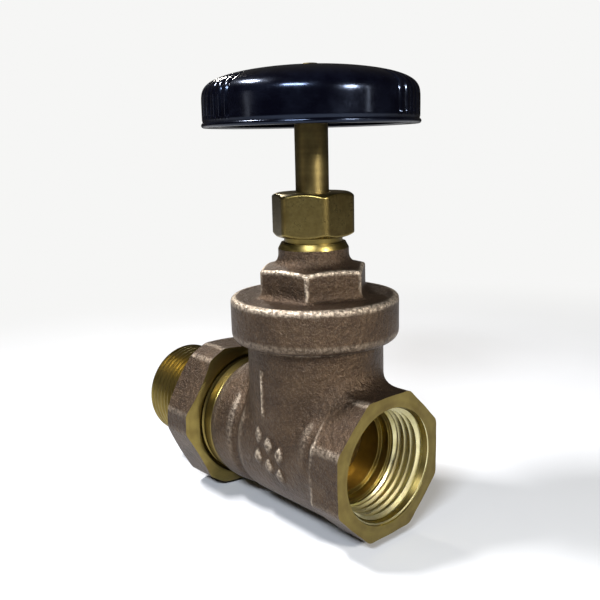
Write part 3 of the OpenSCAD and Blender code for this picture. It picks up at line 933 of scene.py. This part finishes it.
def bonnetField(x, y, z):
    s = SimpleNamespace(**bonnetShape)
    out = np.hypot(x, y)
    cap = smoothMax(out - s.capR, z - s.capTop, s.topRound)
    cap = smoothMax(cap, s.capBottom - z, s.bottomRound)
    flats = hexagon(x, y, s.hexTurn + 30, s.hexHalf, 0.4)
    lid = (z - s.hexTop + (out - s.hexCorner) * s.topSlope) / math.hypot(1, s.topSlope)
    middle = np.maximum(smoothMax(flats, lid, 0.6), s.capTop - 3 - z)
    neck = np.maximum(out - s.neckR, z - s.neckTop - 0.5)
    neck = np.maximum(neck, s.capTop - z)
    shape = smoothMin(cap, middle, 2.4)
    return smoothMin(shape, neck, 2.6) + waviness(x, y, z, 0.06)


def makeBonnet():
    s = SimpleNamespace(**bonnetShape)
    materials = [castBronze, turnedAboutZ]
    low, high = (-24.6, -24.6, s.capBottom), (24.6, 24.6, s.neckTop)
    cast = castShape("bonnet", bonnetField, low, high, s.voxel, materials)
    # the neck's shoulder and its bevel are turned
    shoulder = tube("shoulder", 14, 0, s.neckTop, s.neckTop + 4, materials, 1)
    combine("DIFFERENCE", cast, shoulder)
    bevel = lathe("bevel", [(s.neckR - 0.9, s.neckTop + 0.05), (s.neckR + 1.6, s.neckTop - 4.7),
                            (s.neckR + 1.6, s.neckTop + 1), (s.neckR - 0.9, s.neckTop + 1)], materials, 1)
    combine("DIFFERENCE", cast, bevel)
    post = lathe("post", roundedOutline([
        (0, 50), (s.threadR - 0.55, 50), (s.threadR - 0.55, s.neckTop + 1.9, 0.2),
        (s.threadR, s.neckTop + 2.5), (s.threadR, s.top - 0.8), (s.threadR - 0.8, s.top), (0, s.top),
    ]), materials, 1)
    screw = threadedRod("screw", s.threadR - 0.45, *threads["packing"], s.neckTop + 4, s.top + 2,
                        materials, 1)
    combine("UNION", screw, rod("core", s.threadR + 2, 40, s.neckTop + 3.7, materials, 1))
    combine("INTERSECT", post, screw)
    combine("UNION", cast, post)
    hollow = lathe("hollow", roundedOutline([
        (0, s.capBottom - 1), (s.boreR + 0.9, s.capBottom - 1), (s.boreR + 0.9, s.capBottom),
        (s.boreR, s.capBottom + 0.9), (s.boreR, s.boreTop, 0.3), (s.retainerR, s.boreTop),
        (s.retainerR, s.retainerTop), (s.collarR, s.retainerTop), (s.collarR, s.collarTop),
        (s.stemBoreR, s.collarTop), (s.stemBoreR, s.boxBottom), (s.boxR, s.boxBottom),
        (s.boxR, s.top + 1), (0, s.top + 1),
    ]), materials, 1)
    combine("DIFFERENCE", cast, hollow)
    markWearAndHighlight(cast, bonnetField)
    return finishPiece(cast, "bonnetCasting", "valve_body", "cast_bronze", "bonnet")


makeBonnet()


# union nut: cast hexagon with turned ends

unionNut = {
    "flatR": 22.7,
    "cornerR": 24.4,
    "turn": 27,
    "left": nutLow[0],
    "right": nutHigh[0],
    "threadR": 19.2,
    "lipX": -43.5,
    "holeR": 17.15,
    "faceR": 21.6,
    "bevel": 1.9,
    "voxel": 0.42,
}


def unionNutField(x, y, z):
    s = SimpleNamespace(**unionNut)
    flats = np.full_like(x, -99.0)
    for step in range(12):
        angle = math.radians(s.turn + 30 * step)
        size = s.cornerR if step % 2 == 0 else s.flatR
        flats = smoothMax(flats, y * math.sin(angle) - z * math.cos(angle) - size, 0.55)
    shape = np.maximum(flats, x - s.right - 1)
    return np.maximum(shape, s.left - 1 - x) + waviness(x, y, z, 0.05)


def makeUnionNut():
    s = SimpleNamespace(**unionNut)
    materials = [castBronze, turnedAboutX]
    low, high = (s.left - 1, -25, -25), (s.right + 1, 25, 25)
    cast = castShape("nut", unionNutField, low, high, s.voxel, materials)
    ends = block("ends", (s.left + 0.05, -40, -40), (s.right - 0.05, 40, 40), materials, 1)
    combine("INTERSECT", cast, ends)
    for face, inward in ((s.right, -1), (s.left, 1)):
        bevel = [(s.faceR, face), (s.faceR + 4.6, face + inward * s.bevel * 1.5),
                 (s.faceR + 4.6, face - inward * 2), (s.faceR, face - inward * 2)]
        combine("DIFFERENCE", cast, lathe("bevel", bevel, materials, 1, 160, "X"))
    hollow = lathe("hollow", roundedOutline([
        (0, s.left - 1), (s.holeR + 0.5, s.left - 1), (s.holeR + 0.5, s.left), (s.holeR, s.left + 0.5),
        (s.holeR, s.lipX, 0.2), (s.threadR - 1.1, s.lipX), (s.threadR - 1.1, s.right - 1.4),
        (s.threadR + 1.2, s.right, 0.2), (s.threadR + 1.2, s.right + 1), (0, s.right + 1),
    ]), materials, 1, 160, "X")
    tap = threadedRod("tap", s.threadR - 0.55, *threads["union"], s.lipX, s.right,
                      materials, 1, axis="X", segments=160)
    combine("INTERSECT", tap, rod("reach", 22, s.lipX + 1.5, s.right + 0.5, materials, 1, "X"))
    combine("UNION", hollow, tap)
    combine("DIFFERENCE", cast, hollow)
    markWearAndHighlight(cast, unionNutField)
    return finishPiece(cast, "unionNut", "union_nut", "cast_bronze", "union_nut")


makeUnionNut()


# tailpiece: turned tube with a collar under the nut and a taper thread outside

tailPipe = {
    "collarR": 18.2,
    "tubeR": 16.3,
    "threadR": 16.6,
    "taper": 1 / 28,
    "boreR": 12.0,
    "end": tailLow[0],
    "threadEnd": tailLow[0] + 19.5,
    "collarStart": -43.4,
    "joint": -39.6,
    "nose": tailHigh[0],
}


def makeTail():
    s = SimpleNamespace(**tailPipe)
    materials = [turnedAboutX]
    tail = lathe("tail", roundedOutline([
        (s.boreR, s.end + 0.6), (s.boreR + 0.6, s.end), (s.threadR - 1.6, s.end),
        (s.threadR - 1.6, s.threadEnd - 2), (s.tubeR, s.threadEnd - 0.2, 0.3), (s.tubeR, s.collarStart, 0.4),
        (s.collarR, s.collarStart, 0.25), (s.collarR, s.joint, 0.25), (s.boreR + 2.6, s.joint, 0.3),
        (s.boreR + 0.7, s.nose, 0.2), (s.boreR, s.nose),
    ]), materials, 0, 144, "X")
    tip = s.end + 1.4
    blank = lathe("blank", [
        (s.boreR + 1, s.end + 0.01), (s.threadR - 1.5, s.end + 0.01), (s.threadR - 0.3, tip),
        (s.threadR, s.threadEnd - 0.8), (s.threadR - 1.2, s.threadEnd + 0.8),
        (s.boreR + 1, s.threadEnd + 0.8),
    ], materials, 0, 144, "X")
    screw = threadedRod("screw", s.threadR - 1.5, *threads["pipe"], s.end - 1, s.threadEnd + 3,
                        materials, 0, s.taper, axis="X", segments=144)
    combine("INTERSECT", blank, screw)
    combine("UNION", tail, blank)
    return finishPiece(tail, "tailpiecePipe", "tail", "turned_brass", "tailpiece", sharp=28)


makeTail()


# spindle: turned stem with its left-hand thread, thrust collar, square and stud

spindle = {
    "shaftR": 4.7,
    "threadR": 4.6,
    "bottom": stemLow[2],
    "threadTop": 45.0,
    "collarR": 7.5,
    "collarLow": 49.0,
    "collarHigh": 52.0,
    "hubBottom": 94.7,
    "squareTop": 103.3,
    "square": 3.2,
    "studR": 2.5,
    "top": stemHigh[2] - 0.01,
}


def makeSpindle():
    s = SimpleNamespace(**spindle)
    materials = [turnedStem]
    stem = lathe("stem", roundedOutline([
        (0, s.bottom), (s.threadR - 1, s.bottom), (s.threadR, s.bottom + 1), (s.threadR, s.threadTop),
        (s.shaftR - 0.6, s.threadTop + 0.2), (s.shaftR - 0.6, s.threadTop + 1.6), (s.shaftR, s.threadTop + 2),
        (s.shaftR, s.collarLow), (s.collarR, s.collarLow, 0.2), (s.collarR, s.collarHigh, 0.4),
        (s.shaftR, s.collarHigh, 0.2), (s.shaftR, s.hubBottom, 0.3), (0, s.hubBottom),
    ]), materials, 0, 96)
    screw = threadedRod("screw", s.threadR - 0.75, *threads["stem"], s.bottom - 2, s.threadTop + 1,
                        materials, 0, hand=-1, segments=72)
    combine("UNION", screw, rod("core", 12, s.threadTop - 0.5, s.hubBottom + 5, materials, 0, segments=32))
    combine("INTERSECT", stem, screw)
    half = s.square
    square = block("square", (-half, -half, s.hubBottom - 1), (half, half, s.squareTop), materials)
    turned = [(0, s.hubBottom - 2), (half * 1.32, s.hubBottom - 2), (half * 1.32, s.squareTop - 0.5),
              (half * 1.2, s.squareTop + 0.1), (0, s.squareTop + 0.1)]
    combine("INTERSECT", square, lathe("turned", turned, materials, 0, 96))
    stud = [(0, 98), (s.studR, 98), (s.studR, s.top - 0.5), (s.studR - 0.5, s.top), (0, s.top)]
    stud = lathe("stud", stud, materials, 0, 64)
    fine = threadedRod("fine", s.studR - 0.26, *threads["stud"], s.squareTop, s.top + 1,
                       materials, 0, segments=48)
    combine("UNION", fine, rod("core", 4, 90, s.squareTop + 0.3, materials, 0, segments=32))
    combine("INTERSECT", stud, fine)
    combine("UNION", stem, square, stud)
    return finishPiece(stem, "stemSpindle", "spindle", "turned_brass", "stem", sharp=30)


makeSpindle()


# hexagon nuts: bar stock with its corners turned off

packingNut = {
    "half": 10.64,
    "corner": 11.85,
    "turn": -26,
    "low": packLow[2],
    "high": packHigh[2],
    "bevelRise": 1.15,
    "faceR": 10.2,
    "threadR": 8.96,
    "roof": 2.0,
    "holeR": 4.76,
    "edge": 0.35,
    "voxel": 0.24,
}
wheelNut = {
    "half": 4.0,
    "corner": 4.5,
    "turn": 0,
    "low": wheelNutLow[2],
    "high": wheelNutHigh[2],
    "bevelRise": 0.55,
    "faceR": 3.8,
    "holeR": 2.56,
    "edge": 0.2,
    "voxel": 0.16,
}


def hexBar(name, s, materials):
    # a hexagonal bar about Z with slightly rounded edges
    edge = s.edge

    def field(x, y, z):
        flats = hexagon(x, y, s.turn + 30, s.half, edge)
        flats = hexagon(x, y, s.turn, s.corner, edge, flats)
        out = np.hypot(x, y)
        rise = s.bevelRise
        slope = rise / (s.half / math.cos(math.radians(30)) - s.faceR)
        lean = math.hypot(1, slope)
        upper = (z - s.high + (out - s.faceR) * slope) / lean
        lower = (s.low - z + (out - s.faceR) * slope) / lean
        shape = smoothMax(smoothMax(flats, upper, edge), lower, edge)
        return smoothMax(smoothMax(shape, z - s.high, edge), s.low - z, edge)

    reach = s.half * 1.2
    return castShape(name, field, (-reach, -reach, s.low), (reach, reach, s.high), s.voxel, materials)


def makePackingNut():
    s = SimpleNamespace(**packingNut)
    materials = [hexBrass, turnedAboutZ]
    nut = hexBar("nut", s, materials)
    hollow = lathe("hollow", roundedOutline([
        (0, s.low - 1), (s.threadR + 0.4, s.low - 1), (s.threadR + 0.4, s.low + 0.2),
        (s.threadR - 0.5, s.low + 1.1), (s.threadR - 0.5, s.high - s.roof), (s.holeR, s.high - s.roof),
        (s.holeR, s.high - 0.4), (s.holeR + 0.4, s.high), (s.holeR + 0.4, s.high + 1), (0, s.high + 1),
    ]), materials, 1)
    tap = threadedRod("tap", s.threadR - 0.4, *threads["packing"], s.low, s.high - 3, materials, 1)
    combine("INTERSECT", tap, rod("reach", 12, s.low - 0.5, s.high - s.roof - 1, materials, 1))
    combine("UNION", hollow, tap)
    combine("DIFFERENCE", nut, hollow)
    markBevels(nut)
    return finishPiece(nut, "packingNutBar", "packing_nut", "turned_brass", "packing_nut", sharp=38)


def markBevels(nut):
    # the end faces and turned-off corners take the turned finish
    for face in nut.data.polygons:
        if abs(face.normal.z) > 0.25:
            face.material_index = 1


def makeWheelNut():
    s = SimpleNamespace(**wheelNut)
    materials = [zincSteel, zincSteel]
    nut = hexBar("nut", s, materials)
    hollow = lathe("hollow", [
        (0, s.low - 1), (s.holeR + 0.5, s.low - 0.01), (s.holeR, s.low + 0.5),
        (s.holeR, s.high - 0.5), (s.holeR + 0.5, s.high + 0.01), (0, s.high + 1),
    ], materials, 1, 64)
    combine("DIFFERENCE", nut, hollow)
    return finishPiece(nut, "wheelNutSmall", "spindle", "plated_steel", "wheel_nut", sharp=38)


makePackingNut()
makeWheelNut()


# handwheel: a moulded shell with three groups of grip grooves

handwheel = {
    "rimR": 29.88,
    "base": wheelLow[2],
    "sideH": 5.5,
    "rise": 10.7,
    "shell": 3.2,
    "hubR": 7.2,
    "hubTop": 12.0,
    "recessR": 10.4,
    "groups": 3,
    "perGroup": 6,
    "grooveStep": 5.4,
    "firstGroup": 19.5,
    "grooveDepth": 0.55,
    "grooveWidth": 2.6,
    "grooveInner": 24.0,
    "grooveLow": 2.1,
    "ribs": 6,
    "ribWidth": 1.6,
    "ribHeight": 6.5,
    "ribLow": 3.0,
}


def wheelOutline():
    s = SimpleNamespace(**handwheel)
    rim, lip = s.rimR, 0.7
    line = [(rim - 0.9, 0.0)]
    for angle in np.linspace(-75, 70, 9):
        turn = math.radians(angle)
        line.append((rim + 0.3 - lip + lip * math.cos(turn), lip + lip * math.sin(turn)))
    line += [(rim - 0.12, 1.55), (rim - 0.1, 1.75), (rim - 0.01, 2.0)]
    for height in np.linspace(2.4, s.sideH - 0.5, 8):
        line.append((rim, height))
    for share in np.linspace(0, 1, 46) ** 1.5:
        radius = rim * (1 - share ** 3) ** (1 / 1.53)
        if radius > s.recessR + 0.7:
            line.append((radius, s.sideH + s.rise * share ** 0.732))
    top = line[-1][1]
    line += [(s.recessR + 0.35, top + 0.02), (s.recessR + 0.08, top - 0.2), (s.recessR, top - 0.5)]
    inner = roundedOutline([
        (s.recessR, s.hubTop, 0.3), (s.hubR, s.hubTop), (s.hubR, 1.9, 0.3), (s.hubR + 3, 1.9, 0.4),
        (s.hubR + 3, 9.0, 0.8), (s.hubR + 7, 10.8, 1.5), (rim - s.shell - 2.5, 8.5, 1.5),
        (rim - s.shell, 5.0, 1.0), (rim - s.shell, 0.0, 0.3),
    ])
    return [(r, z + s.base) for r, z in line + [tuple(point) for point in inner]]


def makeGrooveTree():
    # sinks every point near a groove's line along its own normal; grooves come in groups around Z
    tree = bpy.data.node_groups.new("gripGrooves", "GeometryNodeTree")
    add = partial(addNode, tree)
    given = treeInputs(tree, {
        "Groups": ("Float", 3.0), "Per Group": ("Float", 6.0), "Step": ("Float", 5.4),
        "First Group": ("Float", 0.0), "Depth": ("Float", 0.5), "Width": ("Float", 2.6),
        "Inner Radius": ("Float", 24.0), "Lowest": ("Float", 93.0), "Material": ("Material", None),
    })
    x, y, z = add("ShaderNodeSeparateXYZ", add("GeometryNodeInputPosition")).outputs
    bearing = add("ShaderNodeMath", y, x, operation="ARCTAN2")
    degrees = add("ShaderNodeMath", bearing, 180 / math.pi, operation="MULTIPLY")
    apart = add("ShaderNodeMath", 360.0, given["Groups"], operation="DIVIDE")
    # angle from the middle of the nearest group, then from the nearest groove in it
    fromFirst = add("ShaderNodeMath", degrees, given["First Group"], operation="SUBTRACT")
    turned = add("ShaderNodeMath", apart, 6.5, operation="MULTIPLY")  # whole groups keep it positive
    around = add("ShaderNodeMath", fromFirst, turned, operation="ADD")
    inGroup = add("ShaderNodeMath", around, apart, operation="MODULO")
    halfApart = add("ShaderNodeMath", apart, 0.5, operation="MULTIPLY")
    local = add("ShaderNodeMath", inGroup, halfApart, operation="SUBTRACT")
    last = add("ShaderNodeMath", given["Per Group"], 1.0, operation="SUBTRACT")
    halfStep = add("ShaderNodeMath", given["Step"], 0.5, operation="MULTIPLY")
    reach = add("ShaderNodeMath", last, halfStep, operation="MULTIPLY")
    fromEnd = add("ShaderNodeMath", local, reach, operation="ADD")
    counted = add("ShaderNodeMath", fromEnd, given["Step"], operation="DIVIDE")
    whole = add("ShaderNodeMath", counted, operation="ROUND")
    notBefore = add("ShaderNodeMath", whole, 0.0, operation="MAXIMUM")
    nearest = add("ShaderNodeMath", notBefore, last, operation="MINIMUM")
    missed = add("ShaderNodeMath", counted, nearest, operation="SUBTRACT")
    distance = add("ShaderNodeMath", missed, operation="ABSOLUTE")
    off = add("ShaderNodeMath", distance, given["Step"], operation="MULTIPLY")
    halfWidth = add("ShaderNodeMath", given["Width"], 0.5, operation="MULTIPLY")
    inside = add("ShaderNodeMath", off, halfWidth, operation="DIVIDE")
    shape = add("ShaderNodeMath", 1.0, inside, operation="SUBTRACT", use_clamp=True)
    quarter = add("ShaderNodeMath", shape, math.pi / 2, operation="MULTIPLY")
    rounded = add("ShaderNodeMath", quarter, operation="SINE")
    # grooves fade out towards the middle, stop above the rim's lip and leave the inner wall alone
    squares = [add("ShaderNodeMath", side, side, operation="MULTIPLY") for side in (x, y)]
    radius = add("ShaderNodeMath", add("ShaderNodeMath", *squares, operation="ADD"), operation="SQRT")
    beyond = add("ShaderNodeMath", radius, given["Inner Radius"], operation="SUBTRACT")
    outer = add("ShaderNodeMath", beyond, 0.8, operation="MULTIPLY", use_clamp=True)
    height = add("ShaderNodeMath", z, given["Lowest"], operation="SUBTRACT")
    above = add("ShaderNodeMath", height, 1.6, operation="MULTIPLY", use_clamp=True)
    normal = add("GeometryNodeInputNormal").outputs[0]
    nx, ny, nz = add("ShaderNodeSeparateXYZ", normal).outputs
    products = [add("ShaderNodeMath", *pair, operation="MULTIPLY") for pair in ((nx, x), (ny, y))]
    facing = add("ShaderNodeMath", *products, operation="ADD")
    upward = add("ShaderNodeMath", nz, 20.0, operation="MULTIPLY")
    outwardness = add("ShaderNodeMath", facing, upward, operation="ADD")
    outside = add("ShaderNodeMath", outwardness, 0.0, operation="GREATER_THAN")
    pairs = ((rounded, outer), (above, outside))
    sink = add("ShaderNodeMath", *(add("ShaderNodeMath", *pair, operation="MULTIPLY") for pair in pairs),
               operation="MULTIPLY")
    sunk = add("ShaderNodeMath", sink, given["Depth"], operation="MULTIPLY")
    inwards = add("ShaderNodeMath", sunk, -1.0, operation="MULTIPLY")
    shift = add("ShaderNodeVectorMath", normal, inwards, operation="SCALE")
    endTree(tree, add("GeometryNodeSetPosition", given["Geometry"], Offset=shift), given["Material"])
    return tree


def makeRibTree():
    # ribs of one section, evenly round Z
    tree = bpy.data.node_groups.new("wheelRibs", "GeometryNodeTree")
    add = partial(addNode, tree)
    given = treeInputs(tree, {
        "Ribs": ("Int", 6), "Inner Radius": ("Float", 10.0), "Outer Radius": ("Float", 26.0),
        "Width": ("Float", 1.4), "Height": ("Float", 8.0), "Low": ("Float", 90.0),
        "Material": ("Material", None),
    })
    spots = add("GeometryNodeMeshCircle", given["Ribs"], 1.0)
    length = add("ShaderNodeMath", given["Outer Radius"], given["Inner Radius"], operation="SUBTRACT")
    both = add("ShaderNodeMath", given["Outer Radius"], given["Inner Radius"], operation="ADD")
    middle = add("ShaderNodeMath", both, 0.5, operation="MULTIPLY")
    lift = add("ShaderNodeMath", given["Height"], 0.5, given["Low"], operation="MULTIPLY_ADD")
    rib = add("GeometryNodeMeshCube", add("ShaderNodeCombineXYZ", length, given["Width"], given["Height"]))
    out = add("GeometryNodeTransform", rib, Translation=add("ShaderNodeCombineXYZ", X=middle, Z=lift))
    share = add("ShaderNodeMath", add("GeometryNodeInputIndex"), given["Ribs"], operation="DIVIDE")
    angle = add("ShaderNodeMath", share, 2 * math.pi, operation="MULTIPLY")
    centre = add("GeometryNodeSetPosition", spots, Position=(0, 0, 0))
    turn = add("ShaderNodeCombineXYZ", Z=angle)
    fan = add("GeometryNodeInstanceOnPoints", centre, Instance=out, Rotation=turn)
    endTree(tree, fan, given["Material"])
    return tree


def makeHandwheel():
    s = SimpleNamespace(**handwheel)
    materials = [phenolic]
    wheel = lathe("wheel", wheelOutline(), materials, 0, 540)
    wheel = runTree(wheel, makeGrooveTree(), {
        "Groups": float(s.groups), "Per Group": float(s.perGroup), "Step": s.grooveStep,
        "First Group": s.firstGroup, "Depth": s.grooveDepth, "Width": s.grooveWidth,
        "Inner Radius": s.grooveInner, "Lowest": s.base + s.grooveLow, "Material": phenolic,
    })
    ribs = meshObject("ribs", [], [], materials)
    runTree(ribs, makeRibTree(), {
        "Ribs": s.ribs, "Inner Radius": s.hubR + 2.5, "Outer Radius": s.rimR - s.shell + 0.8,
        "Width": s.ribWidth, "Height": s.ribHeight, "Low": s.base + s.ribLow, "Material": phenolic,
    })
    outwards(ribs)
    # the ribs stop inside the wheel's shell
    inside = [(0, 90), (s.rimR - 1.5, 90), (s.rimR - 1.5, 97), (s.rimR - 5, 101.5), (15, 103.5), (0, 103.5)]
    combine("INTERSECT", ribs, lathe("inside", inside, materials, 0, 64))
    combine("UNION", wheel, ribs)
    return finishPiece(wheel, "handwheelShell", "spindle", "black_phenolic", "handwheel", sharp=40)


makeHandwheel()


# CAD parts that keep their shape and take a finish

cadFinishes = {
    "bonnet_gasket": fibre,
    "stem_retainer": turnedAboutZ,
    "packing_washer": turnedAboutZ,
    "packing_ring_1": graphite,
    "packing_ring_2": graphite,
    "packing_ring_3": graphite,
    "packing_gland": turnedAboutZ,
    "wedge": wedgeBronze,
    "wheel_hub": zincSteel,
    "wheel_plate": aluminium,
    "wheel_washer": zincSteel,
}
for node, material in cadFinishes.items():
    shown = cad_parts[node]
    shown.data.materials.clear()
    shown.data.materials.append(material)
print("finishes given to", len(cadFinishes), "CAD parts")
